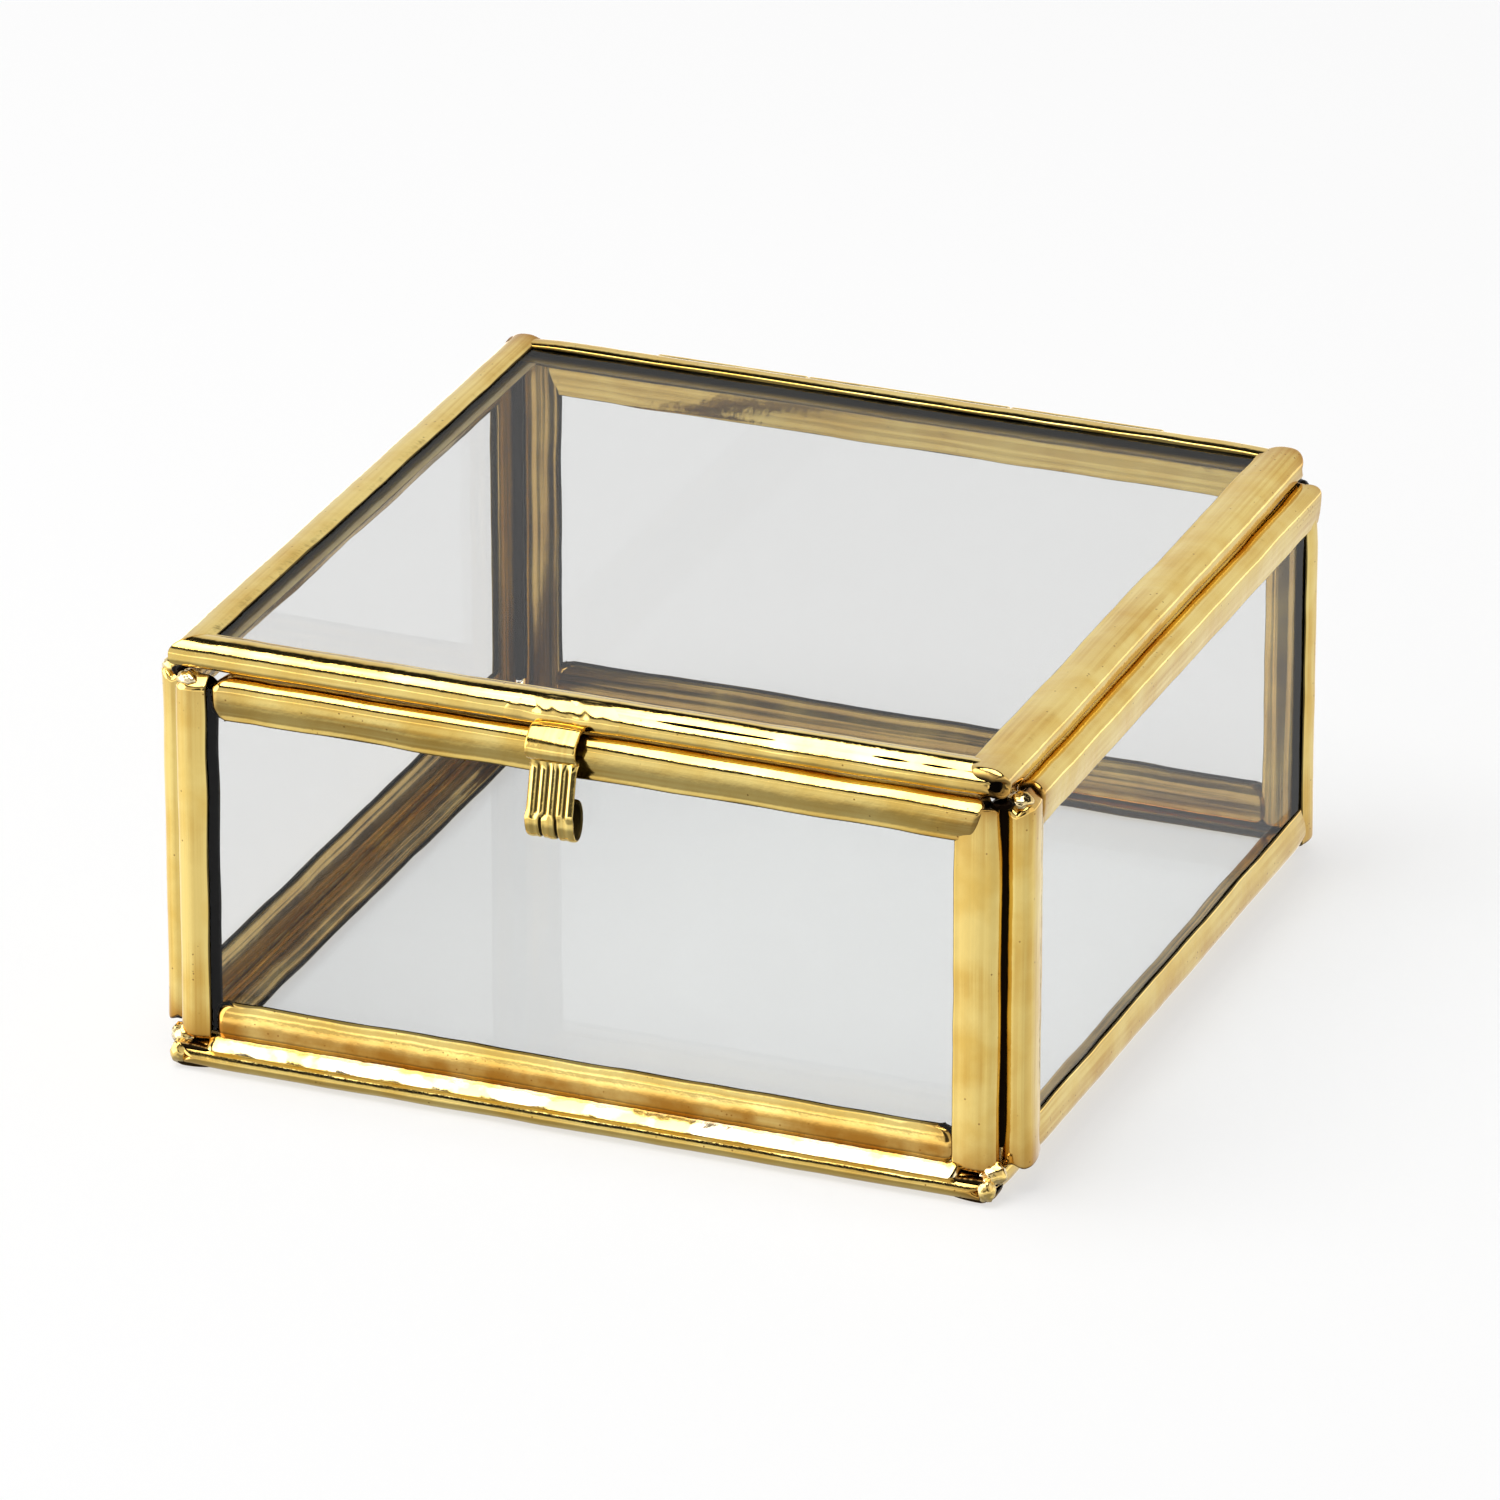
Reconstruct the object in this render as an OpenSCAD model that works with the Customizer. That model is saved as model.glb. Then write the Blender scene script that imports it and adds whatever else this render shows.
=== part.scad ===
// A small casket box: six glass panes, each edged with folded brass channel, soldered edge to edge,
// with a hinged lid and a bent brass spring tab that holds it shut.
// The front is towards -Y, up is +Z, and the origin is under the middle of the walls.

/* [Box] */
// Width over the outer faces of the two side panes
box_w = 100; // [70:1:160]
// Depth over the outer faces of the front and back panes
box_d = 98.5; // [70:0.5:160]
// Height of the four upright framed panes
wall_h = 42.7; // [28:0.1:110]

/* [Glass and channel] */
// Thickness of the glass
glass_t = 2; // [1.6:0.1:3]
// Thickness of the brass sheet that the channel is folded from
sheet_t = 0.55; // [0.4:0.05:0.7]
// Width of the channel's face, from its nose to its lips
channel_w = 5; // [4:0.1:8]
// Radius of the two bends at the channel's nose
nose_r = 1.3; // [0.9:0.05:1.3]
// Free play on each face of the glass inside its channel
glass_play = 0.05; // [0.02:0.01:0.15]
// Gap between the edge of the glass and the bottom of its channel
edge_play = 0.6; // [0.4:0.1:1.2]

/* [Base and lid] */
// How far the base pane stands back from the outer face of each side pane
base_inset = 2.4; // [0.5:0.1:2.8]
// How far the base pane stands out past the front and back panes
base_proud = 1.4; // [0.6:0.1:2]
// How far the lid stands back from the outer face of each side pane
lid_inset = 2.2; // [0:0.1:4]
// How far the lid's front edge stands back from the outer face of the front pane
lid_setback = 0.9; // [0:0.1:1.5]
// Gap between the closed lid and the tops of the walls
lid_gap = 0.4; // [0.2:0.05:1]

/* [Hinge] */
// Outer radius of the hinge tubes
knuckle_r = 1.2; // [1:0.1:1.6]
// Radius of the hinge wire
pin_r = 0.5; // [0.4:0.05:0.6]
// Radial clearance of the wire in its tubes
pin_play = 0.05; // [0.02:0.01:0.09]
// Length of the tube that belongs to the lid
lid_knuckle_l = 24; // [10:1:34]
// Length of each of the two tubes that belong to the back pane
wall_knuckle_l = 18; // [8:1:18]
// Gap between neighbouring tubes, and between a tube and what it turns past
knuckle_gap = 0.3; // [0.2:0.05:0.6]
// How far the hinge axis lies behind the middle of the back pane
hinge_back = 0.4; // [0:0.1:0.6]
// Radius of the wire's flattened ends
pin_head_r = 0.9; // [0.8:0.05:1]
// Length of each flattened end
pin_head_l = 0.7; // [0.4:0.1:1.2]
// End play of the wire between its flattened ends and the tubes
pin_end_play = 0.1; // [0.05:0.05:0.4]
// Radius of the solder beads under the tubes of the back pane
hinge_bead_r = 0.9; // [0.7:0.05:0.95]

/* [Latch] */
// Width of the spring tab
latch_w = 5.8; // [3:0.1:10]
// Thickness of the tab's brass strip
latch_t = 0.5; // [0.35:0.05:0.5]
// How far the tab's middle lies to the left of the box's middle
latch_offset = 2.5; // [0:0.5:10]
// Radius of the bulge over the gap under the lid
bulge_r = 1.8; // [1.8:0.1:2.4]
// Radius of the roll at the tab's lower end
roll_r = 2.2; // [1.8:0.1:2.4]
// Depth of the pinch, between bulge and leg, below the tops of the walls
pinch_drop = 2.3; // [2:0.1:3]
// How far the middle of the tab's strip stands off the front pane at the pinch
pinch_off = 0.55; // [0.55:0.05:0.8]
// Length of the tab's straight leg
leg_l = 5.7; // [4:0.1:8]
// Lean of the leg away from the front pane, in degrees
leg_lean = 12; // [6:1:16]
// Radius of the rolled edge that the tab bends about
root_r = 0.42; // [0.36:0.02:0.5]
// Clearance between the rolled edge and the solder that holds it
root_play = 0.05; // [0.02:0.01:0.1]

/* [Solder] */
// Radius of the solder beads along the seams between panes
bead_r = 0.9; // [0.8:0.05:1]
// Radius of the solder blobs at the base's corners
blob_r = 1.6; // [1.4:0.1:1.8]
// Length of the solder bead that holds the tab to the lid
latch_bead_l = 14; // [8:1:30]

/* [Hidden] */
$fn = 48;
eps = 0.01;

brass = "goldenrod";
solder = "darkgoldenrod";
glass = [0.85, 0.9, 0.88, 0.4];

// Channel section, measured from its nose
channel_t = glass_t + 2 * glass_play + 2 * sheet_t;
slot_half = glass_t / 2 + glass_play;
slot_r = 0.6;
lip_r = sheet_t / 2;
glass_edge = sheet_t + edge_play;

// The walls stand on the base pane, and the lid lies over the walls
wall_foot = channel_t;
wall_top = wall_foot + wall_h;
wall_mid = wall_foot + wall_h / 2;
front_face = -box_d / 2;
base_w = box_w - 2 * base_inset;
base_d = box_d + 2 * base_proud;
face_w = box_w - 2 * channel_t;
side_w = box_d - 2 * channel_t;

// The hinge tubes lie on the back pane, behind the lid's rear edge
hinge_y = box_d / 2 - channel_t / 2 + hinge_back;
hinge_z = wall_top + knuckle_gap + knuckle_r;
bore_r = pin_r + pin_play;
hinge_l = lid_knuckle_l + 2 * (knuckle_gap + wall_knuckle_l);
bead_end = 1;
lid_w = box_w - 2 * lid_inset;
lid_front = front_face + lid_setback;
lid_back = hinge_y - knuckle_r - knuckle_gap;
lid_d = lid_back - lid_front;
lid_mid_y = (lid_front + lid_back) / 2;
lid_mid_z = wall_top + lid_gap + channel_t / 2;

// Each pane: name, width, height, middle, turn, and its four edges from the lower one round to the left
PANES = [
    ["base", base_w, base_d, [0, 0, channel_t / 2], [0, 0, 0], ["front", "right", "back", "left"]],
    ["lid", lid_w, lid_d, [0, lid_mid_y, lid_mid_z], [0, 0, 0], ["front", "right", "back", "left"]],
    ["front", face_w, wall_h, [0, front_face + channel_t / 2, wall_mid], [90, 0, 0],
        ["bottom", "right", "top", "left"]],
    ["back", face_w, wall_h, [0, -front_face - channel_t / 2, wall_mid], [90, 0, 0],
        ["bottom", "right", "top", "left"]],
    ["left", side_w, wall_h, [channel_t / 2 - box_w / 2, 0, wall_mid], [90, 0, 90],
        ["bottom", "back", "top", "front"]],
    ["right", side_w, wall_h, [box_w / 2 - channel_t / 2, 0, wall_mid], [90, 0, 90],
        ["bottom", "back", "top", "front"]],
];
BASE = PANES[0];
LID = PANES[1];
FRONT = PANES[2];
BACK = PANES[3];
LEFT = PANES[4];
RIGHT = PANES[5];
CORNERS = [["front_left", -1, -1], ["front_right", 1, -1], ["back_left", -1, 1], ["back_right", 1, 1]];
EDGES = [0, 1, 2, 3];

function glass_name(pane) = str(pane[0], "_glass");
function channel_name(pane, edge) = str(pane[0], "_channel_", pane[5][edge]);
function seam_name(corner) = str("corner_solder_", corner[0]);

// ---- Framed panes ----

// Puts something that is drawn flat round the origin where a pane stands
module at_pane(pane) {
    translate(pane[3]) rotate(pane[4]) children();
}

// A flat bar's section with its long ends bent round at the nose radius
module bar_section(length) {
    square([length - 2 * nose_r, channel_t], center = true);
    square([length, channel_t - 2 * nose_r], center = true);
    for (x = [-1, 1]) {
        for (y = [-1, 1]) {
            translate([x * (length / 2 - nose_r), y * (channel_t / 2 - nose_r)]) circle(nose_r);
        }
    }
}

// The outer shape of a whole framed pane, which solder is cut by
module pane_block(pane) {
    at_pane(pane) intersection() {
        rotate([90, 0, 90]) linear_extrude(pane[1], center = true) bar_section(pane[2]);
        rotate([90, 0, 0]) linear_extrude(pane[2], center = true) bar_section(pane[1]);
    }
}

// The channel's section: a folded strip with its nose at the origin and its lips at channel_w
module channel_section() {
    difference() {
        union() {
            translate([0, nose_r - channel_t / 2]) square([nose_r + eps, channel_t - 2 * nose_r]);
            translate([nose_r, -channel_t / 2]) square([channel_w - lip_r - nose_r, channel_t]);
            for (side = [-1, 1]) {
                translate([nose_r, side * (channel_t / 2 - nose_r)]) circle(nose_r);
                translate([channel_w - lip_r, side * (channel_t / 2 - lip_r)]) circle(lip_r);
            }
        }
        translate([sheet_t + slot_r, -slot_half]) square([channel_w, 2 * slot_half]);
        translate([sheet_t, slot_r - slot_half]) square([slot_r + eps, 2 * (slot_half - slot_r)]);
        for (side = [-1, 1]) {
            translate([sheet_t + slot_r, side * (slot_half - slot_r)]) circle(slot_r);
        }
    }
}

// One length of channel along X with its nose towards -Y, mitred at both ends
module channel(length) {
    half = length / 2;
    intersection() {
        rotate([90, 0, 90]) linear_extrude(length, center = true) channel_section();
        linear_extrude(channel_t + 1, center = true)
            polygon([[-half, 0], [half, 0], [half - channel_w, channel_w], [channel_w - half, channel_w]]);
    }
}

// The channel on one edge of a pane: 0 is the lower edge, and the count runs anticlockwise
module pane_channel(pane, edge) {
    upright = edge % 2 == 1;
    length = upright ? pane[2] : pane[1];
    reach = (upright ? pane[1] : pane[2]) / 2;
    color(brass) at_pane(pane) rotate([0, 0, 90 * edge]) translate([0, -reach, 0]) channel(length);
}

module pane_glass(pane) {
    color(glass) at_pane(pane)
        cube([pane[1] - 2 * glass_edge, pane[2] - 2 * glass_edge, glass_t], center = true);
}

// ---- Solder between the panes ----

// A rod of solder along one axis, centred on a point
module bead(point, turn, length, radius = bead_r) {
    translate(point) rotate(turn) cylinder(h = length, r = radius, center = true);
}

// The upright seam where a face pane and a side pane meet edge to edge
module corner_solder(corner) {
    face = corner[2] < 0 ? FRONT : BACK;
    side = corner[1] < 0 ? LEFT : RIGHT;
    low = wall_foot + blob_r + bead_r;
    high = wall_top - nose_r;
    color(solder) difference() {
        bead([corner[1] * face_w / 2, corner[2] * side_w / 2, (low + high) / 2], [0, 0, 0], high - low);
        pane_block(face);
        pane_block(side);
    }
}

// The seam between the base and the front or back pane: side is -1 at the front and 1 at the back
module base_solder_along_x(side) {
    color(solder) difference() {
        bead([0, side * box_d / 2, wall_foot], [0, 90, 0], face_w - 4 * blob_r);
        pane_block(BASE);
        pane_block(side < 0 ? FRONT : BACK);
    }
}

// The seam between the base and a side pane: side is -1 on the left and 1 on the right
module base_solder_along_y(side) {
    color(solder) difference() {
        bead([side * base_w / 2, 0, wall_foot], [90, 0, 0], side_w - 4 * blob_r);
        pane_block(BASE);
        pane_block(side < 0 ? LEFT : RIGHT);
    }
}

// The four blobs that close the corners between the base and the walls
module base_corner_solder() {
    color(solder) for (corner = CORNERS) {
        difference() {
            translate([corner[1] * face_w / 2, corner[2] * (box_d / 2 - nose_r), wall_foot]) sphere(blob_r);
            pane_block(BASE);
            pane_block(corner[2] < 0 ? FRONT : BACK);
            pane_block(corner[1] < 0 ? LEFT : RIGHT);
        }
    }
}

// ---- Hinge ----

// A tube on the hinge axis from one place along it to another
module hinge_tube(from, to) {
    color(brass) translate([from, hinge_y, hinge_z]) rotate([0, 90, 0]) difference() {
        cylinder(h = to - from, r = knuckle_r);
        translate([0, 0, -1]) cylinder(h = to - from + 2, r = bore_r);
    }
}

// The solid rod that a tube takes up, which solder is cut by
module hinge_rod() {
    bead([0, hinge_y, hinge_z], [0, 90, 0], hinge_l + 2, knuckle_r);
}

module wall_hinge_tube(side) {
    near = lid_knuckle_l / 2 + knuckle_gap;
    far = near + wall_knuckle_l;
    hinge_tube(side < 0 ? -far : near, side < 0 ? -near : far);
}

module lid_hinge_tube() {
    hinge_tube(-lid_knuckle_l / 2, lid_knuckle_l / 2);
}

// Solder that seats a tube on the top edge of the back pane
module wall_hinge_solder(side) {
    middle = side * (lid_knuckle_l / 2 + knuckle_gap + wall_knuckle_l / 2);
    length = wall_knuckle_l - 2 * bead_end;
    color(solder) difference() {
        bead([middle, hinge_y, wall_top + knuckle_gap / 2], [0, 90, 0], length, hinge_bead_r);
        hinge_rod();
        pane_block(BACK);
    }
}

// Solder that joins the lid's tube to the lid's rear edge
module lid_hinge_solder() {
    length = lid_knuckle_l - 2 * bead_end;
    color(solder) difference() {
        bead([0, lid_back + knuckle_gap / 2, (hinge_z + lid_mid_z) / 2], [0, 90, 0], length);
        hinge_rod();
        pane_block(LID);
    }
}

// The wire through the three tubes, with both ends flattened
module hinge_wire() {
    reach = hinge_l / 2 + pin_end_play;
    color(brass) translate([0, hinge_y, hinge_z]) rotate([0, 90, 0]) {
        cylinder(h = 2 * reach + pin_head_l, r = pin_r, center = true);
        for (side = [-1, 1]) {
            translate([0, 0, side * (reach + pin_head_l / 2)])
                cylinder(h = pin_head_l, r = pin_head_r, center = true);
        }
    }
}

// ---- Latch ----
// The tab's side view: first number outwards from the front pane, second number down from the wall tops

pinch = [pinch_off, pinch_drop];
pinch_turn = 80;
root_turn = 100;
roll_end = 75;
bulge_at = pinch - bulge_r * [cos(pinch_turn), sin(pinch_turn)];
root = bulge_at + bulge_r * [cos(root_turn), -sin(root_turn)];
leg_end = pinch + leg_l * [sin(leg_lean), cos(leg_lean)];
roll_at = leg_end - roll_r * [cos(leg_lean), -sin(leg_lean)];

// Part of a flat ring, between two turns that are counted from outwards towards down
module ring_part(middle, radius, from, to) {
    far = 2 * radius;
    steps = ceil((to - from) / 45);
    turns = [for (i = [0:steps]) from + (to - from) * i / steps];
    translate(middle) intersection() {
        difference() {
            circle(radius + latch_t / 2);
            circle(radius - latch_t / 2);
        }
        polygon(concat([[0, 0]], [for (turn = turns) far * [cos(turn), sin(turn)]]));
    }
}

// The tab's strip from the side: bulge, leg and roll, with a rolled upper edge
module latch_section() {
    translate(root) circle(root_r);
    ring_part(bulge_at, bulge_r, -root_turn, pinch_turn);
    translate(pinch) circle(latch_t / 2);
    translate(pinch) rotate(-leg_lean) translate([-latch_t / 2, 0]) square([latch_t, leg_l + eps]);
    ring_part(roll_at, roll_r, -leg_lean, roll_end);
    translate(roll_at + roll_r * [cos(roll_end), sin(roll_end)]) circle(latch_t / 2);
}

// Stands a side view up in front of the box, with its middle on the tab's middle
module at_latch(width) {
    translate([-latch_offset, front_face, wall_top]) rotate([-90, 0, -90])
        linear_extrude(width, center = true) children();
}

module latch_tab() {
    color(brass) at_latch(latch_w) latch_section();
}

// Solder on the lid's front edge, with a groove that the tab's rolled edge turns in
module latch_solder() {
    color(solder) difference() {
        at_latch(latch_bead_l) translate([root[0] - root_r, root[1]]) circle(bead_r);
        at_latch(latch_w + 2 * root_play) union() {
            translate(root) circle(root_r + root_play);
            translate([root[0], root[1] - 2 * bead_r]) square([2 * bead_r, 4 * bead_r]);
        }
        pane_block(LID);
    }
}

// ---- Drawing ----

for (pane = PANES) {
    pane_glass(pane);
    for (edge = EDGES) {
        pane_channel(pane, edge);
    }
}
for (corner = CORNERS) {
    corner_solder(corner);
}
base_solder_along_x(-1);  // base_solder_front
base_solder_along_x(1);  // base_solder_back
base_solder_along_y(-1);  // base_solder_left
base_solder_along_y(1);  // base_solder_right
base_corner_solder();
wall_hinge_tube(-1);  // hinge_tube_left
wall_hinge_tube(1);  // hinge_tube_right
wall_hinge_solder(-1);  // hinge_solder_left
wall_hinge_solder(1);  // hinge_solder_right
hinge_wire();
lid_hinge_tube();
lid_hinge_solder();
latch_tab();
latch_solder();
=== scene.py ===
import math
from functools import partial

import bpy
import numpy as np
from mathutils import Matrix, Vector


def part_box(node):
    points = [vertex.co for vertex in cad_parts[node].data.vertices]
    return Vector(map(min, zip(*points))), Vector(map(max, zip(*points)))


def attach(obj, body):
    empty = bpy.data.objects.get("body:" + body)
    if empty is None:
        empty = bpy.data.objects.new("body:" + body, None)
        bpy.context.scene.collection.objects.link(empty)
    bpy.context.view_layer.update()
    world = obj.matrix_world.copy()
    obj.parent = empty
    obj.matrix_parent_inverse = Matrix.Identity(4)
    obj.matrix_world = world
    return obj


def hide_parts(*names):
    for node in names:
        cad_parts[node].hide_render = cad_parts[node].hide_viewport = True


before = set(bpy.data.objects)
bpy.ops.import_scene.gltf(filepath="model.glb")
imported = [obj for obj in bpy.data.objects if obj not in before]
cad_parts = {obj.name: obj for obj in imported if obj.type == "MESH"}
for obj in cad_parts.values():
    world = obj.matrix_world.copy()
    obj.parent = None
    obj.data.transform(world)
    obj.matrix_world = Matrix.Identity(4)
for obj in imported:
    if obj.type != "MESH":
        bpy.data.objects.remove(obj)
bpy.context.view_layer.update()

# A small casket of six glass panes edged with folded brass channel and soldered edge to edge.
# Lengths are in millimetres in the code, and in metres once they are in a mesh or a node.
MM = 0.001
X, Y, Z = np.eye(3)

# ---- The framed panes, as the frame gives them ----

# Each pane: its two directions along the glass, the direction across it, its four edges from the
# lower one round to the left, its body, and which face of it looks into the box
PANES = {
    "base": (X, Y, Z, ("front", "right", "back", "left"), "casket", 1),
    "lid": (X, Y, Z, ("front", "right", "back", "left"), "lid", -1),
    "front": (X, Z, -Y, ("bottom", "right", "top", "left"), "casket", -1),
    "back": (X, Z, -Y, ("bottom", "right", "top", "left"), "casket", 1),
    "left": (Y, Z, X, ("bottom", "back", "top", "front"), "casket", 1),
    "right": (Y, Z, X, ("bottom", "back", "top", "front"), "casket", -1),
}


def corners_mm(*nodes):
    """The lowest and the highest corner of some CAD nodes together, in millimetres."""
    boxes = [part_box(node) for node in nodes]
    low = np.min([box[0] for box in boxes], axis=0)
    high = np.max([box[1] for box in boxes], axis=0)
    return low / MM, high / MM


def channel_nodes(pane):
    """The names of the CAD nodes of a pane's four channels."""
    return [f"{pane}_channel_{edge}" for edge in PANES[pane][3]]


strip_low, strip_high = corners_mm("front_channel_bottom")
CHANNEL_T = strip_high[1] - strip_low[1]
glass_low, glass_high = corners_mm("front_glass")
GLASS_PLAY = 0.05  # between the glass and each face of the slot
SLOT_HALF = (glass_high[1] - glass_low[1]) / 2 + GLASS_PLAY
SHEET_T = CHANNEL_T / 2 - SLOT_HALF
WALLS = [node for pane in ("front", "back", "left", "right") for node in channel_nodes(pane)]
wall_low, wall_high = corners_mm(*WALLS)
front_low, front_high = corners_mm(*channel_nodes("front"))
side_high = corners_mm(*channel_nodes("right"))[1]
base_high = corners_mm(*channel_nodes("base"))[1]
lid_low, lid_high = corners_mm(*channel_nodes("lid"))
tab_low, tab_high = corners_mm("latch_tab")

# ---- Noise worked out on whole arrays ----

WAVES = 8
SHORTEST = 0.2  # the shortest wave as a share of the longest
WAVE_SUM = 2.2  # what the summed waves are divided by, so that their heights come near 1


def ripple(along, across, seed, longest, size):
    """A smooth random height: eight sine waves in random directions, from the longest wave down to a
    fifth of it, with heights in step with their lengths."""
    rng = np.random.default_rng(seed)
    total = np.zeros(np.broadcast(along, across).shape)
    for share in np.geomspace(1, SHORTEST, WAVES):
        turn, phase = rng.uniform(0, math.tau, 2)
        wave = math.tau / (longest * share)
        total += share * np.sin(wave * (along * math.cos(turn) + across * math.sin(turn)) + phase)
    return size * total / WAVE_SUM


def ease(x, low, high):
    """0 below low, 1 above high, and a smooth step between them."""
    t = np.clip((x - low) / (high - low), 0, 1)
    return t * t * (3 - 2 * t)


# ---- Meshes from arrays ----


def tube_faces(rings, points):
    """Four-cornered faces between neighbouring rings of points, each ring closed on itself."""
    ring, point = np.meshgrid(np.arange(rings - 1), np.arange(points), indexing="ij")
    after = (point + 1) % points
    quads = [ring * points + point, ring * points + after,
             (ring + 1) * points + after, (ring + 1) * points + point]
    return np.stack(quads, axis=-1).reshape(-1, 4)


def outward(points, groups):
    """The faces of a closed shape, in groups by their number of corners, turned so that its volume, a sum
    of wedges on its middle, is positive."""
    middle = points.mean(axis=0)
    volume = 0.0
    for faces in groups:
        first = points[faces[:, 0]] - middle
        for i in range(1, faces.shape[1] - 1):
            second, third = points[faces[:, i]] - middle, points[faces[:, i + 1]] - middle
            volume += np.einsum("ij,ij->", first, np.cross(second, third))
    return groups if volume > 0 else [faces[:, ::-1] for faces in groups]


def piece(name, shapes, material, body, replaces=(), sharp=50):
    """One object from several closed shapes. A shape is its points in millimetres, its faces, and the
    values that its material reads at each point."""
    points = np.concatenate([shape[0] for shape in shapes])
    starts = np.cumsum([0] + [len(shape[0]) for shape in shapes[:-1]])
    faces = [face for shape, start in zip(shapes, starts)
             for group in outward(shape[0], shape[1]) for face in (group + start).tolist()]
    mesh = bpy.data.meshes.new(name)
    mesh.from_pydata(points * MM, [], faces)
    for key in shapes[0][2]:
        values = np.concatenate([shape[2][key] for shape in shapes]).astype(np.float32)
        if values.ndim == 2:
            mesh.attributes.new(key, "FLOAT_VECTOR", "POINT").data.foreach_set("vector", values.ravel())
        else:
            mesh.attributes.new(key, "FLOAT", "POINT").data.foreach_set("value", values)
    mesh.validate()
    mesh.shade_smooth()
    mesh.set_sharp_from_angle(angle=math.radians(sharp))
    mesh.materials.append(material)
    made = bpy.data.objects.new(name, mesh)
    bpy.context.scene.collection.objects.link(made)
    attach(made, body)
    if replaces:
        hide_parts(*replaces)
    return made


# ---- Materials ----

# Sockets by number: a MapRange takes its value in 0, its range in 1 and 2 and the new range in 3 and 4,
# and a Mix of colours its share in 0 and the colours in 6 and 7. MULTIPLY_ADD gives 0 times 1 plus 2.
GLASS_IOR = 1.52
UNMIRRORED = 0.65  # the share of the glass that shows no mirror image


def linear(code):
    """An sRGB hex colour as the linear colour that a shader takes."""
    parts = [int(code[i:i + 2], 16) / 255 for i in (1, 3, 5)]
    return tuple(c / 12.92 if c <= 0.04045 else ((c + 0.055) / 1.055) ** 2.4 for c in parts) + (1.0,)


def add(tree, kind, sockets=None, output=0, **settings):
    """Adds a shader node with its settings and gives one of its outputs. A socket takes a number, a colour
    or another node's output, which is linked to it."""
    made = tree.nodes.new("ShaderNode" + kind)
    for key, value in settings.items():
        setattr(made, key, value)
    for key, value in (sockets or {}).items():
        if isinstance(value, bpy.types.NodeSocket):
            tree.links.new(value, made.inputs[key])
        else:
            made.inputs[key].default_value = value
    return made.outputs[output] if made.outputs else None


def new_tree(name):
    """A new material with an empty tree, and the short call that adds to it."""
    material = bpy.data.materials.new(name)
    material.use_nodes = True
    material.node_tree.nodes.clear()
    return material, partial(add, material.node_tree)


def per_mm(size):
    """A noise scale whose features are about this many millimetres across."""
    return 1 / (size * MM)


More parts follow.
